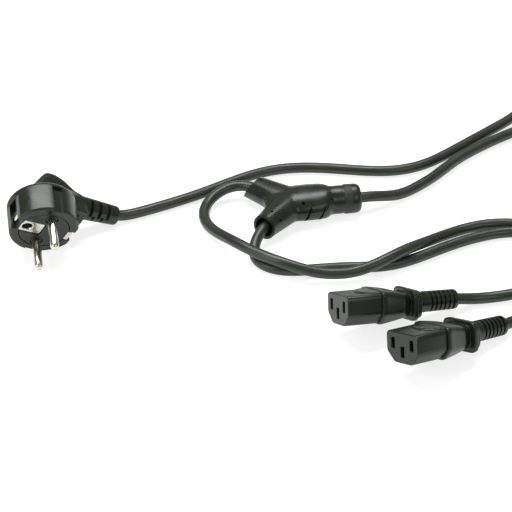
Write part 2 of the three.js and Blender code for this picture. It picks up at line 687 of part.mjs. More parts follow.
const sockets = {};
for (const [branch, place] of Object.entries(SOCKET_PLACES)) {
  const frame = faceFrame(place);
  sockets[branch] = frame;
  const name = (piece) => "socket_" + branch + "_" + piece;
  addMesh(frame.face, name("body"), socketBody(), BLACK);
  const slots = Object.values(slotPlaces).map(([x, y]) => join(
    box(x - SLOT_W / 2, x + SLOT_W / 2, y - SLOT_H / 2, y + SLOT_H / 2, -SOCKET_DEPTH + 1, 1),
    socketContact(GAP).translate([x, y, 0]),
  ));
  addMesh(frame.face, name("carrier"), cut(carrierOuter(0), ...slots), BLACK);
  for (const [pole, at] of Object.entries(slotPlaces))
    addMesh(frame.face, name("contact_" + pole),
      join(socketContact(0).translate([...at, 0]), socketCore(at, 0)), CONTACT);
}

[plug, sockets.a, sockets.b].forEach(rest);

// Where a cord leaves a piece: a point inside it and the point at its end, on the cord's axis.
const onPlug = (reach) => plug.face.localToWorld(new THREE.Vector3(0, -reach, -CORD_BACK));
const onSocket = (branch, reach) => sockets[branch].face.localToWorld(new THREE.Vector3(0, 0, -reach));
yJoint.updateMatrixWorld(true);
const onBranch = (side, reach) =>
  yJoint.localToWorld(new THREE.Vector3(...branchDirection(side)).multiplyScalar(reach));
const onStem = (reach) => yJoint.localToWorld(new THREE.Vector3(reach, 0, 0));

const CORD_R = CORD_D / 2;
const points = (rows) => rows.map(([x, y, z]) => new THREE.Vector3(x, y, z ?? CORD_R + 0.1));

// The stretches of the three cords that aren't wound, each from the Y joint outwards.
const cords = {
  feed_cord_y_side: [
    onStem(feedEntry + GAP), onStem(STEM_LENGTH),
    ...points([[36, 0.7, 8.2], [43.9, 2.6, 6.3], [52, 5.2, 4.2], [60.7, 9.6, 3.1], [70, 15.6], [79.3, 22.6],
      [88, 30.6], [97, 38.6], [109, 47], [122.5, 54.8], [134.9, 61], [146.2, 65.3], [157, 66.8], [164.5, 66.4], [169.5, 65.6]]),
  ],
  feed_cord_plug_side: [
    onPlug(plugCordEnd), onPlug(RELIEF_MIDDLE), onPlug(RELIEF_REACH),
    ...points([[-99.6, 10.8, 3.8], [-94, 12.2], [-86, 14.3], [-70.3, 19.6], [-52, 27], [-35, 35.2], [-17, 42.2],
      [-3.7, 44.3], [13.4, 42.7], [31, 38], [48, 33.3], [65, 32.6], [80, 37.4], [95.4, 46.9], [109, 56.2],
      [124, 66.4], [139.1, 77.3], [145, 82.8], [148.6, 88], [150.6, 93]]),
  ],
  branch_cord_a_y_side: [
    onBranch(1, branchEntry + GAP), onBranch(1, BRANCH_LENGTH - RECESS_DEPTH),
    ...points([[-29.6, 22.4, 8.3], [-38.5, 24, 7], [-47.2, 21.3, 5], [-53.7, 15.3, 3.5], [-57, 7.1], [-56.7, -1.8],
      [-54, -11, 4], [-49.5, -21.5, 6.4], [-43.5, -32, 8.8], [-36.5, -41.5, 9.3], [-29, -49.5, 9.3],
      [-21.3, -55.8, 9.2], [-13, -60.3, 7.8], [-4, -63, 5.8], [5, -64.6, 5], [14.5, -65.2, 5.3], [25, -64, 7.2],
      [36, -60.3, 9.3], [47, -54, 9.2], [60, -44.3, 5.9], [78, -33.5, 3.1], [95, -29.5], [107, -30.2], [120, -34.2],
      [131.6, -38.2], [136, -39.8]]),
  ],
  branch_cord_b_y_side: [
    onBranch(-1, branchEntry + GAP), onBranch(-1, BRANCH_LENGTH - RECESS_DEPTH),
    ...points([[-27.8, -22.8, 8], [-31.4, -27.6, 6], [-33.6, -33.2, 3.8], [-34, -39.2], [-32.2, -45.2], [-28.3, -50.2],
      [-22.9, -53.6], [-16.5, -55.4], [-9.5, -56.1], [4.5, -56.6], [15, -57.4], [28.5, -59], [40, -58.3],
      [50, -55.4], [60, -51.2], [77, -44.2], [94, -39.4], [107, -38.6], [114, -39.8], [121, -41.7], [125.5, -43]]),
  ],
  branch_cord_a_socket_side: [
    onSocket("a", socketCordEnd), onSocket("a", SOCKET_LENGTH),
    ...points([[86, -120.9, 4.3], [91, -119, 3.1], [99, -116.6], [108, -115], [117, -114], [124, -113.2], [130, -112.4]]),
  ],
  branch_cord_b_socket_side: [
    onSocket("b", socketCordEnd), onSocket("b", SOCKET_LENGTH),
    ...points([[67, -97.5, 5.2], [73, -96.4, 3.6], [81, -95.7], [91, -95.9], [100, -97.3], [107.5, -98.7], [111.5, -99.6]]),
  ],
};

// A tube along a route, with a plain section and a step every few diameters.
function cordTube(route) {
  const curve = new THREE.CatmullRomCurve3(route, false, "centripetal");
  const geometry = new THREE.ExtrudeGeometry(new THREE.Shape(ellipse(CORD_D, CORD_D, CORD_SIDES)), {
    extrudePath: curve,
    steps: Math.round(curve.getLength() / CORD_STEP),
    bevelEnabled: false,
  });
  return solid(geometry);
}

// A coil as a plain ring, two turns high.
const coilTop = 2 * CORD_D + 0.2;
function coilRing(coil, inner, outer, grow = 0) {
  const soft = 1.6;
  const [low, high, r0, r1] = [-grow, coilTop + grow, inner - grow, outer + grow];
  const ring = turned([
    [r0 + soft, low], [r1 - soft, low], [r1, low + soft], [r1, high - soft], [r1 - soft, high],
    [r0 + soft, high], [r0, high - soft], [r0, low + soft], [r0 + soft, low],
  ], 32);
  return ring.translate([coil.x, coil.y, 0]);
}

const feedInner = FEED_COIL.r - LANE / 2 - CORD_R;
const feedOuter = FEED_COIL.r + LANE / 2 + CORD_R;
const branchInner = BRANCH_COIL.r - GAP / 2 - CORD_D;
const branchOuter = BRANCH_COIL.r + GAP / 2 + CORD_D;

// Each tube stops just short of the coil that the rest of its cord is wound in.
const bundles = [coilRing(FEED_COIL, feedInner, feedOuter, GAP), coilRing(BRANCH_COIL, branchInner, branchOuter, GAP)];
for (const [name, route] of Object.entries(cords)) addMesh(root, name, cut(cordTube(route), ...bundles), JACKET);

// A shallow notch under a coil, where its tie passes.
function tieNotch(coil, outer) {
  const notch = box(0, outer + 5, -TIE_WIDTH / 2 - GAP, TIE_WIDTH / 2 + GAP, -1, TIE_THICK + GAP);
  return notch.rotate([0, 0, coil.tie]).translate([coil.x, coil.y, 0]);
}

// A flat tie round the whole bundle, with its two ends twisted together on the outside.
function coilTie(coil, inner, outer) {
  const wide = outer - inner + 2 * GAP;
  const high = coilTop + GAP - TIE_THICK;
  const shape = new THREE.Shape(roundedBox(wide + 2 * TIE_THICK, high + 2 * TIE_THICK, 1.2, 2));
  shape.holes.push(new THREE.Path(roundedBox(wide, high, 0.6, 1)));
  const geometry = new THREE.ExtrudeGeometry(shape, { depth: TIE_WIDTH, bevelEnabled: false });
  const m = new THREE.Matrix4().makeBasis(
    new THREE.Vector3(1, 0, 0), new THREE.Vector3(0, 0, 1), new THREE.Vector3(0, -1, 0));
  m.setPosition((inner + outer) / 2, TIE_WIDTH / 2, high / 2 + TIE_THICK);
  const band = solid(geometry).transform(m.elements);
  const twist = [];
  for (let k = 0; k <= TIE_TWISTS; k++) {
    const flat = [[1.7, 0.75], [-1.7, 0.75], [-1.7, -0.75], [1.7, -0.75]].map((p) => new THREE.Vector2(...p));
    twist.push({
      at: (TIE_TAIL * k) / TIE_TWISTS,
      points: flat.map((p) => p.rotateAround(new THREE.Vector2(), k * 0.7)),
    });
  }
  const tail = aim(loft(twist), [1, 0, 0.25], [outer + GAP + 0.4, 0, coilTop * 0.5]);
  return join(band, tail).rotate([0, 0, coil.tie]).translate([coil.x, coil.y, 0]);
}

const feedRing = coilRing(FEED_COIL, feedInner, feedOuter);
addMesh(root, "feed_cord_coil", cut(feedRing, tieNotch(FEED_COIL, feedOuter)), JACKET);
addMesh(root, "feed_cord_tie", coilTie(FEED_COIL, feedInner, feedOuter), BLACK);

// The two branch cords are wound side by side, a outside and b inside, in one tie.
const branchNotch = tieNotch(BRANCH_COIL, branchOuter);
const outerRing = coilRing(BRANCH_COIL, BRANCH_COIL.r + GAP / 2, branchOuter);
const innerRing = coilRing(BRANCH_COIL, branchInner, BRANCH_COIL.r - GAP / 2);
addMesh(root, "branch_cord_a_coil", cut(outerRing, branchNotch), JACKET);
addMesh(root, "branch_cord_b_coil", cut(innerRing, branchNotch), JACKET);
addMesh(root, "branch_cord_tie", coilTie(BRANCH_COIL, branchInner, branchOuter), BLACK);

export default root;
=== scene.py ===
import math

import bmesh
import bpy
import numpy as np
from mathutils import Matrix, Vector


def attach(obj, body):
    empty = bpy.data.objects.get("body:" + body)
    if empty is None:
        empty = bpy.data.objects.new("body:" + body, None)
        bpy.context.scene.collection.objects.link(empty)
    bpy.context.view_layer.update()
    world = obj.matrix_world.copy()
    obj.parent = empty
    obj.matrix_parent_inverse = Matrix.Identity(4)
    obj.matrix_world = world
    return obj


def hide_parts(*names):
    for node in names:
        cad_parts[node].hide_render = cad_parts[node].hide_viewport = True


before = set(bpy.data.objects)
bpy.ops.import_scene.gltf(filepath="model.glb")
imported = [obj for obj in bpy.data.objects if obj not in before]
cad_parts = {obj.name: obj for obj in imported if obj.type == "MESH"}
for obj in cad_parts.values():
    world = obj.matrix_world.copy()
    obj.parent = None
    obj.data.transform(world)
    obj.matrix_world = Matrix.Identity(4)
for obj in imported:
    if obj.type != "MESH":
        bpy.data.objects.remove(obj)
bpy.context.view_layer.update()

scene = bpy.context.scene
scene.view_settings.view_transform = "Standard"

# Camera: 1.2 m from the point it looks at, near the Y joint, and 35 degrees above the surface. A long lens
# keeps the plug and the two sockets at nearly the same scale, as in the photograph.
camera = bpy.data.objects.new("camera", bpy.data.cameras.new("camera"))
scene.collection.objects.link(camera)
camera.data.sensor_width = 36
camera.data.lens = 156.1
camera.data.clip_start = 0.05
camera.location = (-0.1893, -1.0050, 0.6883)
camera.rotation_mode = "QUATERNION"
looked_at = Vector((-0.0321, -0.0346, 0))
camera.rotation_quaternion = (looked_at - camera.location).to_track_quat("-Z", "Y")
scene.camera = camera


def add_node(tree, kind, inputs=None, **settings):
    """Adds one shader node with its settings; an input is a value or the output socket it is linked to."""
    made = tree.nodes.new("ShaderNode" + kind)
    for key, value in settings.items():
        setattr(made, key, value)
    for key, value in (inputs or {}).items():
        if isinstance(value, bpy.types.NodeSocket):
            tree.links.new(value, made.inputs[key])
        else:
            made.inputs[key].default_value = value
    return made


def computed(tree, operation, *values):
    """The output of a Math node that works on the given values or sockets."""
    return add_node(tree, "Math", dict(enumerate(values)), operation=operation).outputs[0]


def stretched(tree, noise, low, high):
    """A noise, which mostly lies between 0.3 and 0.7, stretched to run from low to high."""
    limits = {"From Min": 0.3, "From Max": 0.7, "To Min": low, "To Max": high}
    return add_node(tree, "MapRange", {"Value": noise, **limits}).outputs[0]


def mixed(tree, share, first, second):
    """The colour between two colours, each a value or a socket."""
    return add_node(tree, "Mix", {0: share, 6: first, 7: second}, data_type="RGBA").outputs[2]


def linear(code):
    """Turns an sRGB hex colour into linear red, green and blue, with full alpha."""
    parts = [int(code[i : i + 2], 16) / 255 for i in (0, 2, 4)]
    return [c / 12.92 if c <= 0.04045 else ((c + 0.055) / 1.055) ** 2.4 for c in parts] + [1.0]


def new_material(name):
    made = bpy.data.materials.new(name)
    made.use_nodes = True
    made.node_tree.nodes.clear()
    return made, made.node_tree


def new_object(name, mesh, material):
    made = bpy.data.objects.new(name, mesh)
    scene.collection.objects.link(made)
    made.data.materials.append(material)
    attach(made, "root")
    return made


# Studio: a white sweep that shows plain white to the camera but still takes the object's soft shadow,
# with one broad softbox overhead and two weaker ones at the sides, in metres.
FLOOR_REACH = 6
FLOOR_DROP = 0.0003  # how far the floor lies under the object
FLOOR_GLOW = 0.74  # with what the softboxes add, this shows as white
FLOOR_GREY = 0.55
WORLD_LIGHT = 0.3  # light from the white surroundings; the camera sees them at 1


def studio_floor():
    mesh = bpy.data.meshes.new("floor")
    r = FLOOR_REACH
    mesh.from_pydata([(-r, -r, 0), (r, -r, 0), (r, r, 0), (-r, r, 0)], [], [(0, 1, 2, 3)])
    made, tree = new_material("floor_white")
    path = add_node(tree, "LightPath")
    seen = computed(tree, "MAXIMUM", path.outputs["Is Camera Ray"], path.outputs["Is Glossy Ray"])
    seen = computed(tree, "MAXIMUM", seen, path.outputs["Is Transmission Ray"])
    strength = computed(tree, "MULTIPLY", seen, FLOOR_GLOW)
    glow = add_node(tree, "Emission", {"Color": (1, 1, 1, 1), "Strength": strength})
    matt = add_node(tree, "BsdfDiffuse", {"Color": (FLOOR_GREY, FLOOR_GREY, FLOOR_GREY, 1)})
    both = add_node(tree, "AddShader", {0: glow.outputs[0], 1: matt.outputs[0]})
    add_node(tree, "OutputMaterial", {"Surface": both.outputs[0]})
    floor = bpy.data.objects.new("floor", mesh)
    floor.data.materials.append(made)
    floor.location.z = -FLOOR_DROP
    scene.collection.objects.link(floor)


def softbox(name, place, size, power):
    """A rectangular area light that faces the origin."""
    light = bpy.data.lights.new(name, "AREA")
    light.shape = "RECTANGLE"
    light.size, light.size_y = size
    light.energy = power
    made = bpy.data.objects.new(name, light)
    made.location = place
    made.rotation_mode = "QUATERNION"
    made.rotation_quaternion = (-Vector(place)).to_track_quat("-Z", "Y")
    scene.collection.objects.link(made)


studio_floor()
softbox("softbox_top", (-0.1, 0.45, 1.25), (1.3, 0.55), 19)
softbox("softbox_left", (-1.2, -0.5, 0.7), (0.5, 0.9), 6)
softbox("softbox_front", (0.6, -1.1, 0.9), (0.7, 0.4), 3)
world = bpy.data.worlds.new("world")
scene.world = world
world.use_nodes = True
world.node_tree.nodes.clear()
sky = add_node(world.node_tree, "LightPath")
sky_level = add_node(world.node_tree, "MapRange", {
    "Value": sky.outputs["Is Camera Ray"], "To Min": WORLD_LIGHT, "To Max": 1.0})
sky_glow = add_node(world.node_tree, "Background", {"Color": (1, 1, 1, 1), "Strength": sky_level.outputs[0]})
add_node(world.node_tree, "OutputWorld", {"Surface": sky_glow.outputs[0]})


# The PVC of the cords: a dark, faintly greenish jacket with a satin skin. The three cores inside lie in a
# slow twist that shows through the jacket as a very shallow wave. In UV, u runs round the cord, and v runs
# along it in metres.
CORES = 3
CORE_LAY = 0.045  # metres along the cord for one turn of the cores


def jacket_material():
    made, tree = new_material("cord_jacket")
    place = add_node(tree, "TexCoord")
    around = add_node(tree, "SeparateXYZ", {0: place.outputs["UV"]})
    turns = computed(tree, "MULTIPLY", around.outputs["Y"], 1 / CORE_LAY)
    phase = computed(tree, "ADD", around.outputs["X"], turns)
    angle = computed(tree, "MULTIPLY", phase, 2 * CORES * math.pi)
    lay = computed(tree, "SINE", angle)
    grain = add_node(tree, "TexNoise", {"Vector": place.outputs["Object"], "Scale": 2600, "Detail": 3})
    patch = add_node(tree, "TexNoise", {"Vector": place.outputs["Object"], "Scale": 60, "Detail": 4})
    wave = add_node(tree, "Bump", {"Height": lay, "Distance": 0.00006, "Strength": 0.5})
    bump = add_node(tree, "Bump", {
        "Height": grain.outputs["Fac"], "Distance": 0.00002, "Strength": 0.35, "Normal": wave.outputs[0]})
    rough = stretched(tree, patch.outputs["Fac"], 0.3, 0.43)
    tone = mixed(tree, patch.outputs["Fac"], linear("20281e"), linear("2e372b"))
    shader = add_node(tree, "BsdfPrincipled", {
        "Base Color": tone, "Roughness": rough, "Normal": bump.outputs[0]})
    add_node(tree, "OutputMaterial", {"Surface": shader.outputs[0]})
    return made


jacket = jacket_material()

CORD_LOWEST = 3.02  # the lowest that a cord's centreline may run, in millimetres: just over its radius


def smooth_route(rows, step=2.0, passes=8):
    """A dense smooth centreline through route points in millimetres. Each coordinate is a cubic spline of the
    distance along the points; the spline is resampled at an even step, and each sample is then moved towards
    the mean of its neighbours a few times. Nothing goes lower than a cord that lies on the surface."""
    p = np.array(rows, float)
    h = np.linalg.norm(np.diff(p, axis=0), axis=1)
    at = np.r_[0, np.cumsum(h)]
    n = len(p)
    a = np.eye(n)
    b = np.zeros((n, 3))
    for i in range(1, n - 1):
        a[i, i - 1 : i + 2] = h[i - 1], 2 * (h[i - 1] + h[i]), h[i]
        b[i] = 6 * ((p[i + 1] - p[i]) / h[i] - (p[i] - p[i - 1]) / h[i - 1])
    bend = np.linalg.solve(a, b)
    t = np.linspace(0, at[-1], int(at[-1] / step) + 1)
    k = np.clip(np.searchsorted(at, t, side="right") - 1, 0, n - 2)
    u, w, d = (t - at[k])[:, None], (at[k + 1] - t)[:, None], h[k][:, None]
    q = (bend[k] * w**3 + bend[k + 1] * u**3) / (6 * d)
    q += (p[k] / d - bend[k] * d / 6) * w + (p[k + 1] / d - bend[k + 1] * d / 6) * u
    for _ in range(passes):
        q[1:-1] += 0.5 * ((q[:-2] + q[2:]) / 2 - q[1:-1])
    q[:, 2] = np.maximum(q[:, 2], CORD_LOWEST)
    return q


def wound(centre, start, turn, lanes, step=15.0):
    """Points of a coil in millimetres, from the start angle through turn degrees, counterclockwise where turn
    is positive. lanes gives (degrees so far, radius, height), with an even change from one to the next."""
    t = np.arange(0, abs(turn) + 0.1, step)
    at, radius, height = np.array(lanes, float).T
    a = np.radians(start + np.sign(turn) * t)
    r = np.interp(t, at, radius)
    x, y = centre[0] + r * np.cos(a), centre[1] + r * np.sin(a)
    return np.stack([x, y, np.interp(t, at, height)], 1).tolist()


def cord_tube(name, line, diameter=6.0, sides=28):
    """A tube round a centreline in millimetres. The ring's frame is carried along without twisting, and the
    UV holds the share of the way round and the length along it in metres."""
    tangent = np.gradient(line, axis=0)
    tangent /= np.linalg.norm(tangent, axis=1)[:, None]
    side = np.cross(tangent[0], (0, 0, 1.0))
    sides_of = []
    for d in tangent:
        side = side - d * np.dot(side, d)
        side /= np.linalg.norm(side)
        sides_of.append(side)
    side = np.array(sides_of)
    up = np.cross(side, tangent)
    a = np.linspace(0, 2 * np.pi, sides, endpoint=False)
    ring = side[:, None] * np.cos(a)[None, :, None] + up[:, None] * np.sin(a)[None, :, None]
    points = (line[:, None] + ring * diameter / 2).reshape(-1, 3)
    m, n = len(line), sides
    k = np.arange(m - 1)[:, None] * n
    i = np.arange(n)[None]
    j = (i + 1) % n
    quads = np.stack([k + i, k + n + i, k + n + j, k + j], -1).reshape(-1, 4)
    faces = quads.tolist() + [list(range(n)), list(range((m - 1) * n, m * n))[::-1]]
    mesh = bpy.data.meshes.new(name)
    mesh.from_pydata((points / 1000).tolist(), [], faces)
    metres = np.r_[0, np.cumsum(np.linalg.norm(np.diff(line, axis=0), axis=1))] / 1000
    u = np.broadcast_to(np.stack([i[0] / n, i[0] / n, (i[0] + 1) / n, (i[0] + 1) / n], -1), (m - 1, n, 4))
    v = np.stack([metres[:-1], metres[1:], metres[1:], metres[:-1]], -1)[:, None, :]
    uv = np.zeros((len(mesh.loops), 2), np.float32)
    uv[: (m - 1) * n * 4] = np.stack([u, np.broadcast_to(v, u.shape)], -1).reshape(-1, 2)
    mesh.uv_layers.new(name="UVMap").data.foreach_set("uv", uv.ravel())
    mesh.polygons.foreach_set("use_smooth", [True] * len(mesh.polygons))
    made = new_object(name, mesh, jacket)
    return made


# The routes, in millimetres. A cord on the surface has its centreline at 3.1, and one on another cord at 9.3.

# Feed cord: a round three-core lead, 1.29 m. It leaves the Y joint's stem, is wound in a tied coil just
# outside the picture, and comes back beside itself to the plug.
feed_line = smooth_route(
    [(17, 0, 8.5), (24, 0, 8.5), (31.9, 0, 8.5), (37, 0.9, 8.1), (43.9, 2.8, 6.4), (52, 5.2, 4.3),
     (60.7, 9.4, 3.1), (70, 15.4, 3.1), (79.3, 22.4, 3.1), (88, 30.4, 3.1), (97, 38.4, 3.1), (109, 46.8, 3.1),
     (122.5, 54.8, 3.1), (134.9, 61, 3.2), (146.2, 65.3, 3.6), (157, 66.8, 5), (165, 66.4, 6.6),
     (173, 64.6, 8), (184, 63.2, 9), (196, 65.6, 9.3)]
    + wound((189.6, 101.9), -58, 1305, [
        (0, 36.1, 9.3), (300, 36.1, 9.3), (360, 29.9, 9.3), (665, 29.9, 9.3), (720, 29.9, 3.1),
        (965, 29.9, 3.1), (1025, 36.1, 3.1), (1320, 36.1, 3.1)])
    + [(152.2, 96.5, 3.1), (149.2, 88.9, 3.1), (145, 82.8, 3.1), (139.1, 77.3, 3.1), (124, 66.4, 3.1),
       (109, 56.2, 3.1), (95.4, 46.9, 3.1), (80, 37.4, 3.1), (65, 32.6, 3.1), (48, 33.3, 3.1), (31, 38, 3.1),
       (13.4, 42.7, 3.1), (-3.7, 44.3, 3.1), (-17, 42.2, 3.1), (-35, 35.2, 3.1), (-52, 27, 3.1),
       (-70.3, 19.6, 3.1), (-86, 14.3, 3.1), (-94.5, 11.8, 3.1), (-99.3, 10.6, 3.3), (-103.6, 9.8, 4.5),
       (-108.8, 9, 7), (-117.6, 7.5, 11.5), (-129, 5.7, 17.1)])
feed_cord = cord_tube("feed_cord", feed_line)
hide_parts("feed_cord_y_side", "feed_cord_plug_side", "feed_cord_coil")


def branch_coil(radius):
    """One and a half turns of a branch cord in the coil that both share, on the surface and then on top."""
    return wound((142.3, -76.7), 80.8, -540, [
        (0, radius, 3.1), (240, radius, 3.1), (300, radius, 9.3), (540, radius, 9.3)])


# Branch cord a: from the upper branch of the Y joint it turns back in a wide arc, passes over branch cord b
# twice, and ends in the lower socket. Its unseen length is wound round the outside of the tied coil.
a_line = smooth_route(
    [(-17.2, 11.7, 8.5), (-23.1, 18, 8.5), (-27, 21.6, 8.4), (-32.5, 24, 7.9), (-39, 24, 6.9),
     (-45, 21.3, 5.6), (-50, 16.8, 4.4), (-53.6, 10.8, 3.6), (-55.2, 4, 3.3), (-54.9, -3.4, 3.5),
     (-52.7, -12, 4.6), (-48.8, -21.5, 6.6), (-43.3, -32, 8.8), (-36.5, -41.5, 9.3), (-29, -49.5, 9.3),
     (-21.3, -55.8, 9.2), (-13, -60.3, 7.8), (-4, -63, 5.8), (5, -64.6, 5), (14.5, -65.2, 5.3),
     (25, -64, 7.2), (36, -60.3, 9.3), (47, -54, 9.2), (60, -44.3, 5.9), (78, -33.5, 3.1), (95, -29.5, 3.1),
     (107, -30, 3.1), (120, -33.6, 3.1), (131.6, -38.6, 3.1), (139, -41.8, 3.1)]
    + branch_coil(33.1)
    + [(130, -108.4, 9.3), (120, -107.8, 9), (110, -109.6, 7.2), (100, -113.2, 4.4), (91, -117.8, 3.3),
       (81.9, -122.8, 4.9), (73.1, -127.2, 7), (66.1, -130.6, 8.7)])
branch_cord_a = cord_tube("branch_cord_a", a_line)
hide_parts("branch_cord_a_y_side", "branch_cord_a_socket_side", "branch_cord_a_coil")

# Branch cord b: from the lower branch it turns under cord a and lies flat on the surface, passes under cord a
# again, and ends in the upper socket. Its unseen length is wound on the inside of the same tied coil.
b_line = smooth_route(
    [(-17.2, -11.7, 8.5), (-23.1, -18, 8.5), (-26.6, -21.6, 8.2), (-30.2, -26.6, 6.6), (-33, -32.8, 4.4),
     (-33.9, -39.4, 3.3), (-32.2, -45.3, 3.1), (-28.3, -50.2, 3.1), (-22.9, -53.6, 3.1), (-16.5, -55.4, 3.1),
     (-9.5, -56.1, 3.1), (4.5, -56.6, 3.1), (15, -57.4, 3.1), (28.5, -59, 3.1), (40, -58.3, 3.1),
     (50, -55.4, 3.1), (60, -51.2, 3.1), (77, -44.2, 3.1), (94, -39.4, 3.1), (107, -38.4, 3.1),
     (119, -41, 3.1), (130, -45.6, 3.1), (138, -48.6, 3.1)]
    + branch_coil(26.9)
    + [(128, -101.7, 9.3), (118, -100, 9.2), (109.5, -98.8, 8.4), (101, -97.6, 6.2), (92, -96.4, 3.9),
       (83, -95.9, 3.1), (73, -96.5, 3.7), (62.6, -98.5, 6.4), (53, -100.7, 8.1), (45.3, -102.5, 9.5)])
branch_cord_b = cord_tube("branch_cord_b", b_line)
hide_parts("branch_cord_b_y_side", "branch_cord_b_socket_side", "branch_cord_b_coil")


# Moulded PVC of the Y joint, the plug and the sockets' grips: dark greenish black, satin, with the fine
# spark-eroded grain of its mould, slight flow marks and places polished by handling. A mesh attribute makes
# some bands matt.
MATT_ROUGHER = 0.22
MATT_PALER = 0.35


def moulded_material(name, dark, light, rough, grain_height=0.000025):
    made, tree = new_material(name)
    place = add_node(tree, "TexCoord").outputs["Object"]
    grain = add_node(tree, "TexNoise", {"Vector": place, "Scale": 2200, "Detail": 4, "Roughness": 0.6})
    pits = add_node(tree, "TexVoronoi", {"Vector": place, "Scale": 1500})
    flow = add_node(tree, "TexNoise", {"Vector": place, "Scale": 45, "Detail": 5, "Distortion": 1.2})
    matt = add_node(tree, "Attribute", attribute_name="matt")
    height = computed(tree, "ADD", grain.outputs["Fac"], pits.outputs["Distance"])
    bump = add_node(tree, "Bump", {"Height": height, "Distance": grain_height, "Strength": 0.5})
    base = stretched(tree, flow.outputs["Fac"], rough - 0.05, rough + 0.07)
    duller = computed(tree, "MULTIPLY_ADD", matt.outputs["Fac"], MATT_ROUGHER, base)
    tone = mixed(tree, flow.outputs["Fac"], linear(dark), linear(light))
    paler = computed(tree, "MULTIPLY", matt.outputs["Fac"], MATT_PALER)
    tone = mixed(tree, paler, tone, linear("3a4138"))
    shader = add_node(tree, "BsdfPrincipled", {
        "Base Color": tone, "Roughness": duller, "Normal": bump.outputs[0], "Specular IOR Level": 0.42})
    add_node(tree, "OutputMaterial", {"Surface": shader.outputs[0]})
    return made


# Metal: nickel plate on the pins and the earth contact, bare brass on the spring contacts and crimps. Both
# show fine rubbing marks, and a slow change of gloss where the plating is thinner.
def metal_material(name, dark, light, rough):
    made, tree = new_material(name)
    place = add_node(tree, "TexCoord").outputs["Object"]
    rubs = add_node(tree, "Mapping", {"Vector": place, "Scale": (900, 5200, 900)})
    marks = add_node(tree, "TexNoise", {"Vector": rubs.outputs[0], "Scale": 1, "Detail": 3})
    cloud = add_node(tree, "TexNoise", {"Vector": place, "Scale": 120, "Detail": 4})
    bump = add_node(tree, "Bump", {"Height": marks.outputs["Fac"], "Distance": 0.000006, "Strength": 0.4})
    gloss = stretched(tree, cloud.outputs["Fac"], rough, rough + 0.12)
    tone = mixed(tree, cloud.outputs["Fac"], linear(dark), linear(light))
    shader = add_node(tree, "BsdfPrincipled", {
        "Base Color": tone, "Metallic": 1.0, "Roughness": gloss, "Normal": bump.outputs[0]})
    add_node(tree, "OutputMaterial", {"Surface": shader.outputs[0]})
    return made


moulded = moulded_material("moulded_pvc", "151b13", "20291c", 0.29)
hard = moulded_material("hard_plastic", "161c14", "1e271b", 0.3, 0.000015)
nickel = metal_material("nickel_plate", "c4c1b8", "dcd9d0", 0.14)
brass = metal_material("brass", "a9813f", "c8a257", 0.22)


def skin(rings):
    """A closed surface through rings of points, given as an array (rings, points, 3), with flat ends."""
    rings = np.asarray(rings, float)
    m, n = rings.shape[:2]
    k = np.arange(m - 1)[:, None] * n
    i = np.arange(n)[None]
    j = (i + 1) % n
    quads = np.stack([k + i, k + j, k + n + j, k + n + i], -1).reshape(-1, 4)
    faces = quads.tolist() + [list(range(n))[::-1], list(range((m - 1) * n, m * n))]
    return rings.reshape(-1, 3), faces


def hoop(rings):
    """A surface through rings of points that comes back to the first ring, so that it needs no ends."""
    points, faces = skin(rings + rings[:1])
    return points, faces[:-2]


def mesh_of(name, parts):
    """One mesh of several closed surfaces in millimetres, with every surface facing out."""
    mesh = bpy.data.meshes.new(name)
    points, faces, first = [], [], 0
    for p, f in parts:
        points.append(p)
        faces += [[v + first for v in face] for face in f]
        first += len(p)
    mesh.from_pydata((np.concatenate(points) / 1000).tolist(), [], faces)
    work = bmesh.new()
    work.from_mesh(mesh)
    bmesh.ops.recalc_face_normals(work, faces=work.faces)
    work.to_mesh(mesh)
    work.free()
    return mesh


def through_modifiers(mesh, *steps):
    """The mesh after the given modifiers, each (type, settings), without leaving a modifier behind."""
    holder = bpy.data.objects.new("holder", mesh)
    scene.collection.objects.link(holder)
    for kind, settings in steps:
        modifier = holder.modifiers.new(kind, kind)
        for key, value in settings.items():
            setattr(modifier, key, value)
    made = bpy.data.meshes.new_from_object(holder.evaluated_get(bpy.context.evaluated_depsgraph_get()))
    bpy.data.objects.remove(holder)
    return made


def fused(parts, voxel, passes):
    """The parts melted into one moulding: a voxel remesh of their union, smoothed a number of times."""
    return through_modifiers(
        mesh_of("rough", parts),
        ("REMESH", {"mode": "VOXEL", "voxel_size": voxel / 1000, "use_smooth_shade": True}),
        ("SMOOTH", {"factor": 0.5, "iterations": passes}),
    )


def surface_of(mesh):
    """The points in millimetres and the faces of a mesh."""
    p = np.empty(len(mesh.vertices) * 3)
    mesh.vertices.foreach_get("co", p)
    return p.reshape(-1, 3) * 1000, [list(f.vertices) for f in mesh.polygons]


def carved(mesh, *groups):
    """The mesh with each group of closed surfaces cut out of it, one group after another."""
    for group in groups:
        tool = bpy.data.objects.new("tool", mesh_of("tool", group))
        scene.collection.objects.link(tool)
        mesh = through_modifiers(
            mesh, ("BOOLEAN", {"operation": "DIFFERENCE", "solver": "EXACT", "object": tool}))
        bpy.data.objects.remove(tool)
    return mesh


def merged(mesh, extra):
    """The first mesh with the surfaces of the second added to it."""
    work = bmesh.new()
    work.from_mesh(mesh)
    work.from_mesh(extra)
    work.to_mesh(mesh)
    work.free()
    return mesh


def finished(name, mesh, material, stands_for, sharp=32):
    """Makes the mesh a named piece, smooth apart from edges sharper than the angle."""
    mesh.polygons.foreach_set("use_smooth", [True] * len(mesh.polygons))
    mesh.set_sharp_from_angle(angle=math.radians(sharp))
    mesh.materials.clear()
    made = new_object(name, mesh, material)
    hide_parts(*stands_for)


def oval(w, h, count=72):
    """Points round an oval of that width and height."""
    a = np.linspace(0, 2 * np.pi, count, endpoint=False)
    return np.stack([w / 2 * np.cos(a), h / 2 * np.sin(a)], 1)


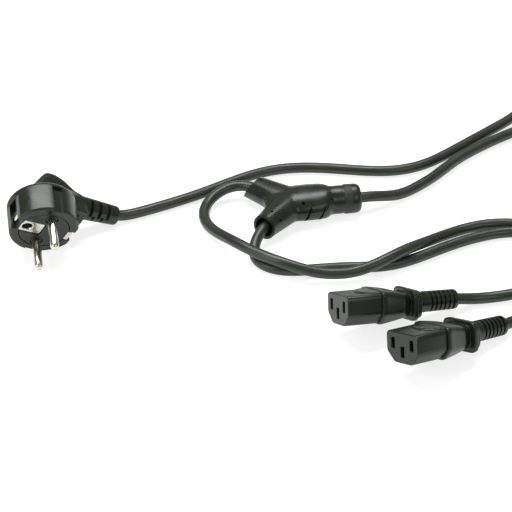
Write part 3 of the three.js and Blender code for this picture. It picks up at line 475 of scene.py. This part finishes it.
def along(direction, start, stations, up=(0, 0, 1.0)):
    """Oval rings on a straight axis: each station is (distance from start, width across, height up)."""
    d = np.array(direction, float) / np.linalg.norm(direction)
    side = np.cross(d, up)
    side /= np.linalg.norm(side)
    top = np.cross(side, d)
    rings = []
    for at, w, h in stations:
        o = oval(w, h)
        rings.append(np.array(start) + d * at + o[:, :1] * side + o[:, 1:] * top)
    return skin(rings)


def eased(rows, count):
    """Stations between the given ones, on a smooth monotone curve through each column."""
    rows = np.array(rows, float)
    t = np.linspace(0, len(rows) - 1, count)
    k = np.minimum(t.astype(int), len(rows) - 2)
    f = (t - k)[:, None]
    slope = np.gradient(rows, axis=0)
    inner = np.diff(rows, axis=0)
    slope[1:-1][inner[:-1] * inner[1:] <= 0] = 0
    a, b, sa, sb = rows[k], rows[k + 1], slope[k], slope[k + 1]
    left = a * (1 + 2 * f) * (1 - f) ** 2 + sa * f * (1 - f) ** 2
    return left + b * f * f * (3 - 2 * f) - sb * f * f * (1 - f)


# Y joint: one overmoulding in soft PVC. An oval stem carries two flex slots on each edge, then a neck and a
# matt collar; two round branches end in hollow rims that the cords come out of. Small round marks are left
# where pins held the splices in the mould. Its middle is where the axes of the stem and the branches meet.
JOINT_X = -6.302
JOINT_MIDDLE = np.array([JOINT_X, 0, 8.5])
BRANCH_ANGLE = math.radians(47)  # between a branch and the line of the stem
MATT_FROM, MATT_TO, MATT_EDGE = 29, 33.1, 0.3  # the matt band of the collar, from the middle


def flex_slot(side, at):
    """The cutter of one slot over an edge of the stem, leaning with its height, 1.2 to 1.44 mm wide."""
    rings = []
    for a in np.radians(np.linspace(-40, 28, 15)):
        edge = np.array([0, side * 12.9 * math.cos(a), 8.6 * math.sin(a)])
        out = edge / np.linalg.norm(edge)
        lean = 3 * math.sin(a)
        rings.append([JOINT_MIDDLE + edge + (at + lean + dx, 0, 0) + out * dr
                      for dx, dr in ((-0.6, -1.8), (0.6, -1.8), (0.72, 1.8), (-0.72, 1.8))])
    return skin(rings)


def y_joint():
    stem = along((1, 0, 0), JOINT_MIDDLE, eased([
        (-11, 14, 11.5), (-6, 20.5, 14.5), (0, 25, 16.6), (7, 26, 17.2), (14, 25.4, 17.2), (17.2, 24.2, 17.1),
        (19.2, 22, 16.8), (20.4, 19, 16.4), (21.2, 17, 16.1), (22, 16, 16), (28.9, 16, 16)], 60))
    collar = along((1, 0, 0), JOINT_MIDDLE, [
        (26, 14, 14), (28.9, 14, 14), (29, 16.5, 16.5), (32.7, 16.6, 16.6), (33, 16, 16), (33.4, 16.6, 16.6),
        (35.8, 16.4, 16.4), (37.2, 15.2, 15.2), (38, 13.4, 13.4), (38.3, 10.6, 10.6)])
    ways = [np.array([-math.cos(BRANCH_ANGLE), side * math.sin(BRANCH_ANGLE), 0]) for side in (1, -1)]
    branches = [along(way, JOINT_MIDDLE, eased([
        (-2, 19, 16), (6, 18.6, 16), (14, 17, 15.4), (22, 14.8, 14.6), (27, 14, 14), (33.5, 13.9, 13.9)], 40))
        for way in ways]
    web = along((-1, 0, 0), JOINT_MIDDLE, eased([
        (0, 19, 14), (6, 18.6, 13.2), (11, 17, 11.6), (14, 14.5, 9), (15.6, 9, 5)], 16))
    body = fused([stem] + branches + [web], voxel=0.5, passes=34)
    mesh = fused([surface_of(body), collar], voxel=0.4, passes=3)
    # Each branch is cut off at a slant, so that its mouth looks up a little.
    ends = []
    for way, slant, reach in zip(ways, (0.5, 0.12), (27.4, 27.8)):
        tilted = way + np.array([0, 0, slant])
        ends.append(along(tilted, JOINT_MIDDLE + way * reach, [(0, 26, 26), (12, 26, 26)]))
    mesh = carved(mesh, ends)
    cuts = []
    for side, way, marks in zip((1, -1), ways, ((60, 0), (8, 62))):
        cuts.append(along(way, JOINT_MIDDLE, [(21.5, 10.4, 10.4), (34, 11.2, 11.2)]))
        near = np.cross(way, (0, 0, -side))
        for angle in np.radians(marks):
            out = np.array([0, 0, math.cos(angle)]) - near * math.sin(angle)
            cuts.append(along(out, JOINT_MIDDLE + way * 21.6, [(5.3, 1.4, 1.4), (10, 1.6, 1.6)], up=way))
        mark = JOINT_MIDDLE + (4.7, side * 9.3, 0)
        cuts.append(along((0, 0, 1), mark, [(3.4, 1.5, 1.5), (9, 1.7, 1.7)], up=(0, 1, 0)))
        cuts += [flex_slot(side, at) for at in (7.2, 15.2)]
    cuts.append(along((1, 0, 0), JOINT_MIDDLE, [(30, 6.3, 6.3), (37.6, 6.3, 6.3), (38.6, 7.6, 7.6)]))
    mesh = carved(mesh, cuts)
    finished("y_joint", mesh, moulded, ["y_moulding"])
    x = np.empty(len(mesh.vertices) * 3, np.float32)
    mesh.vertices.foreach_get("co", x)
    x = x[::3] * 1000 - JOINT_X
    band = np.clip((x - MATT_FROM) / MATT_EDGE, 0, 1) * np.clip((MATT_TO - x) / MATT_EDGE, 0, 1)
    mesh.attributes.new("matt", "FLOAT", "POINT").data.foreach_set("value", band.astype(np.float32))


y_joint()


def face_frame(x, y, z, yaw, pitch, roll):
    """The turn and place of a plug or socket: local x runs across its face, y up it and z out of it."""
    a, b, c = np.radians([yaw, -pitch, roll])
    rz = np.array([[math.cos(a), -math.sin(a), 0], [math.sin(a), math.cos(a), 0], [0, 0, 1]])
    ry = np.array([[math.cos(b), 0, math.sin(b)], [0, 1, 0], [-math.sin(b), 0, math.cos(b)]])
    rx = np.array([[1, 0, 0], [0, math.cos(c), -math.sin(c)], [0, math.sin(c), math.cos(c)]])
    return rz @ ry @ rx @ np.array([[0, 0, 1], [1, 0, 0], [0, 1, 0]]), np.array([x, y, z], float)


def placed(parts, where):
    turn, move = where
    return [(np.asarray(p) @ turn.T + move, f) for p, f in parts]


def outline(corners, count=96):
    """Points at an even step round a polygon whose corners, each (x, y, radius), are rounded."""
    c = np.array(corners, float)
    out = []
    for i, (x, y, r) in enumerate(c):
        at = np.array([x, y])
        a, b = c[i - 1, :2] - at, c[(i + 1) % len(c), :2] - at
        a, b = at + a / np.linalg.norm(a) * r, at + b / np.linalg.norm(b) * r
        t = np.linspace(0, 1, 13)[:, None]
        out.append(a * (1 - t) ** 2 + 2 * at * t * (1 - t) + b * t * t)
    p = np.concatenate(out)
    start = int(np.argmax(p[:, 1] - 1e-3 * np.abs(p[:, 0])))
    p = np.roll(p, -start, axis=0)
    closed = np.vstack([p, p[:1]])
    s = np.r_[0, np.cumsum(np.linalg.norm(np.diff(closed, axis=0), axis=1))]
    t = np.linspace(0, s[-1], count, endpoint=False)
    return np.stack([np.interp(t, s, closed[:, 0]), np.interp(t, s, closed[:, 1])], 1)


def rectangle(w, h, r, count=96):
    return outline([(w / 2, h / 2, r), (-w / 2, h / 2, r), (-w / 2, -h / 2, r), (w / 2, -h / 2, r)], count)


def stacked(levels):
    """A closed surface through flat outlines: levels are (z, points)."""
    return skin([np.column_stack([p, np.full(len(p), z)]) for z, p in levels])


def block(x0, x1, y0, y1, z0, z1):
    return stacked([(z, np.array([(x0, y0), (x1, y0), (x1, y1), (x0, y1)])) for z in (z0, z1)])


def lathe(profile, count=64):
    """A turned surface: profile is (radius, z), closed at both ends by small flats."""
    return stacked([(z, oval(2 * r, 2 * r, count)) for r, z in profile])


def swung(part, turn, move):
    """A part with its axes exchanged: turn gives the new x, y and z directions of its old axes."""
    return np.asarray(part[0]) @ np.array(turn, float) + np.array(move, float), part[1]


def moved(part, x, y):
    return np.asarray(part[0]) + np.array((x, y, 0), float), part[1]


# Plug: an angled earthed type F plug in one soft moulding. A round drum with two flats for the earth clips
# goes into the wall socket; behind it are a dome, a finger grip and a slotted strain relief at a right angle.
PLUG_PLACE = face_frame(-144.4, -17.6, 17.436, -90.6, -19.3, 62.1)
DRUM_R = 18.8
DRUM_FLAT = 17.4  # from the axis to each flat
PIN_X = 9.5  # half of the pins' spacing of 19 mm
EARTH_Y = 10  # the hole for the earth pin, above the middle of the face
CLIP_HALF = 2.75  # half of an earth clip's width
RELIEF_FROM = (0, 0, -22)  # the axis of the strain relief, behind the face


def drum_outline(r, flat, count=144):
    a = np.linspace(0, 2 * np.pi, count, endpoint=False)
    p = np.stack([r * np.cos(a), r * np.sin(a)], 1)
    p[:, 1] = np.clip(p[:, 1], -flat, flat)
    return p


def plug_body():
    drum = stacked([(z, drum_outline(r, flat)) for z, r, flat in (
        (0, 17.9, 16.6), (-0.3, 18.5, 17.2), (-1, DRUM_R, DRUM_FLAT), (-15, DRUM_R, DRUM_FLAT),
        (-15.3, 18.7, 18), (-15.8, DRUM_R, DRUM_R), (-17, DRUM_R, DRUM_R))])
    dome = lathe([
        (DRUM_R, -15.9), (DRUM_R, -16.8), (18.4, -18), (17.5, -19), (15.6, -20.2), (13, -21.1), (9.5, -21.9),
        (4, -22.4), (0.5, -22.5)])
    grip = []
    for y, top, width in eased([
            (14, 20.6, 9), (12, 21.8, 10.4), (9, 24, 11.4), (6, 27.4, 11.8), (3, 31.2, 12), (-0.5, 35.6, 12),
            (-3, 37.8, 12.2), (-6, 37.9, 12.4), (-12, 35.4, 12.6), (-16, 31.8, 12.8), (-19, 29.2, 13),
            (-22, 28.2, 12.6), (-25, 27.6, 11)], 60):
        half, foot = width / 2, width / 2 + 0.8
        p = outline([(half, top, 4.6), (-half, top, 4.6), (-foot, 13, 0.5), (foot, 13, 0.5)], 72)
        grip.append(np.column_stack([p[:, 0], np.full(len(p), y), -p[:, 1]]))
    relief = along((0, -1, 0), RELIEF_FROM, eased([
        (8, 20, 16), (15, 17, 15), (18, 15.2, 15), (22, 13.6, 13.8), (27, 12.8, 12.8), (34, 12, 12),
        (44, 10.9, 10.9), (45.8, 10.4, 10.4), (46.5, 9.2, 9.2)], 40), up=(0, 0, -1))
    mesh = fused(placed([drum, dome, skin(grip), relief], PLUG_PLACE), voxel=0.36, passes=5)
    cuts = []
    for side in (1, -1):
        cuts.append(block(*sorted((side * 17.15, side * 21)), -CLIP_HALF, CLIP_HALF, -16, 1))
        cuts.append(block(-3.8, 3.8, *sorted((side * 14.6, side * 21)), -14.6, 2))
        for at in (28.6, 33.9, 39.2):
            for angle, shift, half in ((32, 0, 1.1), (122, 2.8, 0.7)):
                c, d = math.cos(math.radians(angle)), math.sin(math.radians(angle))
                near, far = sorted((side * 3.3, side * 10))
                slot = block(near, far, -at - half + shift, -at + half + shift, -4.6, 4.6)
                cuts.append(swung(slot, ((c, 0, d), (0, 1, 0), (-d, 0, c)), RELIEF_FROM))
    bore = along((0, -1, 0), RELIEF_FROM, [(38, 6.2, 6.2), (45.6, 6.2, 6.2), (47, 7.6, 7.6)], up=(0, 0, -1))
    notch = block(-3.8, 3.8, -16.5, -12.8, -1.6, 1)
    seat = lathe([(13.7, -7.4), (13.7, -0.6), (14, 0.5)], 96)
    groups = [placed(group, PLUG_PLACE) for group in (cuts + [bore], [notch], [seat])]
    finished("plug_moulding", carved(mesh, *groups), moulded, ["plug_body"])


# The plug's insert: a disc of hard plastic that holds both pins and the earth contact. A narrow seam runs
# round it, and each pin stands in a shallow collar.
def plug_insert():
    disc = lathe([(13.55, -7), (13.55, -0.35), (13.35, -0.1)], 96)
    cuts = [moved(lathe([(3.5, -0.9), (3.7, 1)], 48), x, 0) for x in (PIN_X, -PIN_X)]
    cuts.append(block(-4.5, 4.5, 0.8, 15.4, -1.5, 1))
    well = moved(lathe([(3.6, -8), (3.6, 1)], 48), 0, EARTH_Y)
    mesh = mesh_of("disc", placed([disc], PLUG_PLACE))
    mesh = carved(mesh, placed(cuts, PLUG_PLACE), placed([well], PLUG_PLACE))
    collars = [moved(lathe([(3, -1.5), (3, -0.3), (2.8, -0.1)], 48), x, 0) for x in (PIN_X, -PIN_X)]
    mesh = merged(mesh, mesh_of("collars", placed(collars, PLUG_PLACE)))
    finished("plug_insert", mesh, hard, ["plug_bridge"])


# Pins: solid nickel-plated brass, 4.8 mm, with domed ends turned on a lathe.
def plug_pins():
    profile = [
        (2.2, -11), (2.4, -10), (2.4, 0), (2.4, 16.2), (2.36, 16.9), (2.2, 17.7), (1.9, 18.3), (1.4, 18.8),
        (0.8, 18.96), (0.1, 19)]
    for name, x in (("line", PIN_X), ("neutral", -PIN_X)):
        mesh = mesh_of("pin", placed([moved(lathe(profile), x, 0)], PLUG_PLACE))
        finished("pin_" + name, mesh, nickel, ["plug_pin_" + name])


# Earth contact: one pressed strip of nickel-plated brass. Its two ends are the springy side clips, which
# bulge a little; in the face it shows as a plate with a rolled hole for the wall socket's earth pin.
def earth_contact():
    clips = []
    for side in (1, -1):
        rings = []
        for z, y in eased([(-9, 15.1), (-8, 15.2), (-5.5, 15.6), (-5, 15.6), (-4.4, 15.4), (-4, 15.2)], 20):
            low, high = side * (y - 0.35), side * (y + 0.35)
            corners = (-CLIP_HALF, low), (CLIP_HALF, low), (CLIP_HALF, high), (-CLIP_HALF, high)
            rings.append([(*corner, z) for corner in corners])
        clips.append(skin(rings))
    strip = block(-CLIP_HALF, CLIP_HALF, -15.4, 15.4, -9, -8.3)
    tab = moved(stacked([(z, rectangle(6.6 - inset, 2.6 - inset, r)) for z, inset, r in
                         ((-1.3, 0, 0.5), (-0.2, 0, 0.5), (0, 0.4, 0.4))]), 0, -14.2)
    plate = moved(stacked([(z, rectangle(8.2 - inset, 13.4 - inset, r)) for z, inset, r in
                           ((-1.2, 0, 1.2), (-0.45, 0, 1.2), (-0.3, 0.4, 1.1))]), 0, 7.8)
    hole = moved(lathe([(2.6, -9.5), (2.6, -0.8), (3.1, 0)], 48), 0, EARTH_Y)
    mesh = carved(mesh_of("plate", placed([plate], PLUG_PLACE)), placed([hole], PLUG_PLACE))
    sleeve = hoop([np.column_stack([oval(2 * r, 2 * r, 48) + (0, EARTH_Y), np.full(48, z)]) for r, z in (
        (2.6, -14), (2.6, -0.9), (2.95, -0.45), (3.25, -0.2), (3.5, -0.3), (3.5, -0.9), (3.2, -1.3),
        (3.2, -14))])
    mesh = merged(mesh, mesh_of("strip", placed(clips + [strip, sleeve, tab], PLUG_PLACE)))
    finished("earth_contact", mesh, nickel, ["plug_earth_contact"])


plug_body()
plug_insert()
plug_pins()
earth_contact()


# Cable sockets: a soft grip moulded round a hard front block. The grip flares out of the block at a shoulder,
# tapers to a finger flange and a collar, and ends in a strain relief with windows and ring grooves. Depths
# count back from the front of the block.
SHOULDER_Z = -19.5
GROOVES = 6
GROOVE_FIRST = -64.8
GROOVE_PITCH = 2.6


def clipped(w, h, chamfer, r_top, r_low, count=120):
    """A rectangle whose two lower corners are cut off."""
    x, y = w / 2, h / 2
    return outline([
        (x, y, r_top), (-x, y, r_top), (-x, -y + chamfer, r_low), (-x + chamfer, -y, r_low),
        (x - chamfer, -y, r_low), (x, -y + chamfer, r_low)], count)


def socket_grip(letter, where):
    levels = []
    for z, w, h, arch, chamfer, r in eased([
            (-44.5, 15, 11.4, 0, 2.4, 3.6), (-39, 16.5, 12, 0, 2.6, 3.8), (-35, 19, 12.8, 0, 3, 3.8),
            (-33, 21, 13.4, 0.2, 3.4, 3.6), (-29, 22.8, 14.8, 0.8, 4, 3.2), (-24.6, 25, 16.2, 1.1, 4.8, 2.8),
            (-21.8, 26.6, 17, 1.1, 5.4, 2.6), (-20.4, 27, 17.2, 1, 5.5, 2.6),
            (-19.7, 26.8, 17, 0.9, 5.5, 2.4), (-19.3, 26.2, 16.8, 0.7, 5.4, 2)], 48):
        p = clipped(w, h, chamfer, r, 1.6)
        p[:, 1] += np.where(p[:, 1] > 0, arch * (1 - np.clip(2 * p[:, 0] / w, -1, 1) ** 2), 0)
        levels.append((z, p))
    flange = stacked([(z, rectangle(24.4 - inset, 16.3 - inset, 4.6)) for z, inset in
                      ((-40.4, 0.7), (-40.1, 0.1), (-38.1, 0), (-37.8, 0.7))])
    collar = stacked([(z, rectangle(20.5 - inset, 14.6 - inset, 5)) for z, inset in
                      ((-43.6, 1), (-43.3, 0.3), (-41.6, 0), (-41.2, 0.7))])
    # The tongue is a low round step on top, from the shoulder towards the front.
    half_turn = np.linspace(0, np.pi, 40)
    tongue = []
    for y, inset in ((6.8, 0), (8.3, 0), (8.6, 0.5), (8.8, 1.6), (8.9, 3.4)):
        x, z = (9.8 - inset) * np.cos(half_turn), SHOULDER_Z + (9.6 - inset) * np.sin(half_turn)
        x, z = np.r_[x, x[-1], x[0]], np.r_[z, -22, -22]
        tongue.append(np.column_stack([x, np.full(len(x), y), z]))
    tail = lathe([
        (4.4, -68), (4.9, -67.7), (5.2, -67.1), (5.25, -66.4), (5.6, -48), (5.9, -44), (6.2, -40)], 72)
    mesh = fused(placed([stacked(levels), flange, collar, tail, skin(tongue)], where), voxel=0.32, passes=2)
    cuts = []
    for k in range(GROOVES):
        z = GROOVE_FIRST + GROOVE_PITCH * k
        cuts.append(hoop([np.column_stack([oval(2 * r, 2 * r, 72), np.full(72, h)]) for r, h in (
            (4.35, z - 0.55), (8, z - 0.65), (8, z + 0.65), (4.35, z + 0.55))]))
    for side in (1, -1):
        cuts.append(block(-4.4, 4.4, *sorted((side * 4, side * 9)), -48.6, -46.2))
    bore = lathe([(3.9, -69), (3.15, -67.2), (3.15, -60)], 48)
    seat = stacked([(z, clipped(23, 15, 5, 1.2, 0.8)) for z in (-19.6, -8)])
    mesh = carved(mesh, placed(cuts + [bore, seat], where))
    finished("socket_" + letter + "_grip", mesh, moulded, ["socket_" + letter + "_body"])


# The front block: hard plastic with square shoulders above and two clipped corners below. Each slot has a
# small lead-in chamfer, and the spring contacts sit deep behind it.
def socket_block(letter, where):
    body = stacked([(z, clipped(*sizes)) for z, sizes in (
        (SHOULDER_Z, (24, 16, 5.5, 2.4, 1.6)), (-0.8, (24, 16, 5.5, 2.4, 1.6)),
        (-0.25, (23.6, 15.6, 5.4, 2.3, 1.5)), (0, (22.9, 14.9, 5.2, 2, 1.3)))])
    tang = stacked([(z, rectangle(21, 11, 2)) for z in (-26, -18)])
    slot = stacked([(z, rectangle(w, h, 0.25, 48)) for z, w, h in
                    ((-17.5, 2.5, 5.4), (-0.35, 2.5, 5.4), (0.5, 3.9, 6.8))])
    slots = [moved(slot, x, y) for x, y in ((7, 2.1), (-7, 2.1), (0, -1.9))]
    mesh = carved(mesh_of("block", placed([body], where)), placed(slots, where))
    mesh = merged(mesh, mesh_of("tang", placed([tang], where)))
    name = "socket_" + letter
    finished(name + "_block", mesh, hard, [name + "_carrier"], sharp=25)


for letter, where in (("a", face_frame(22.3, -152.3, 19.17, -153.7, 12.1, 21.5)),
                      ("b", face_frame(-2.7, -113.5, 17.897, -167.1, 9.7, 26))):
    socket_grip(letter, where)
    socket_block(letter, where)

# Pieces that keep their solids: the spring contacts, the crimped splices and the cores, seen only through the
# slots, and the two ties, which are plastic-covered wire.
for name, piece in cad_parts.items():
    if not piece.hide_render:
        piece.data.materials.clear()
        piece.data.materials.append(moulded if name.endswith("tie") else brass)
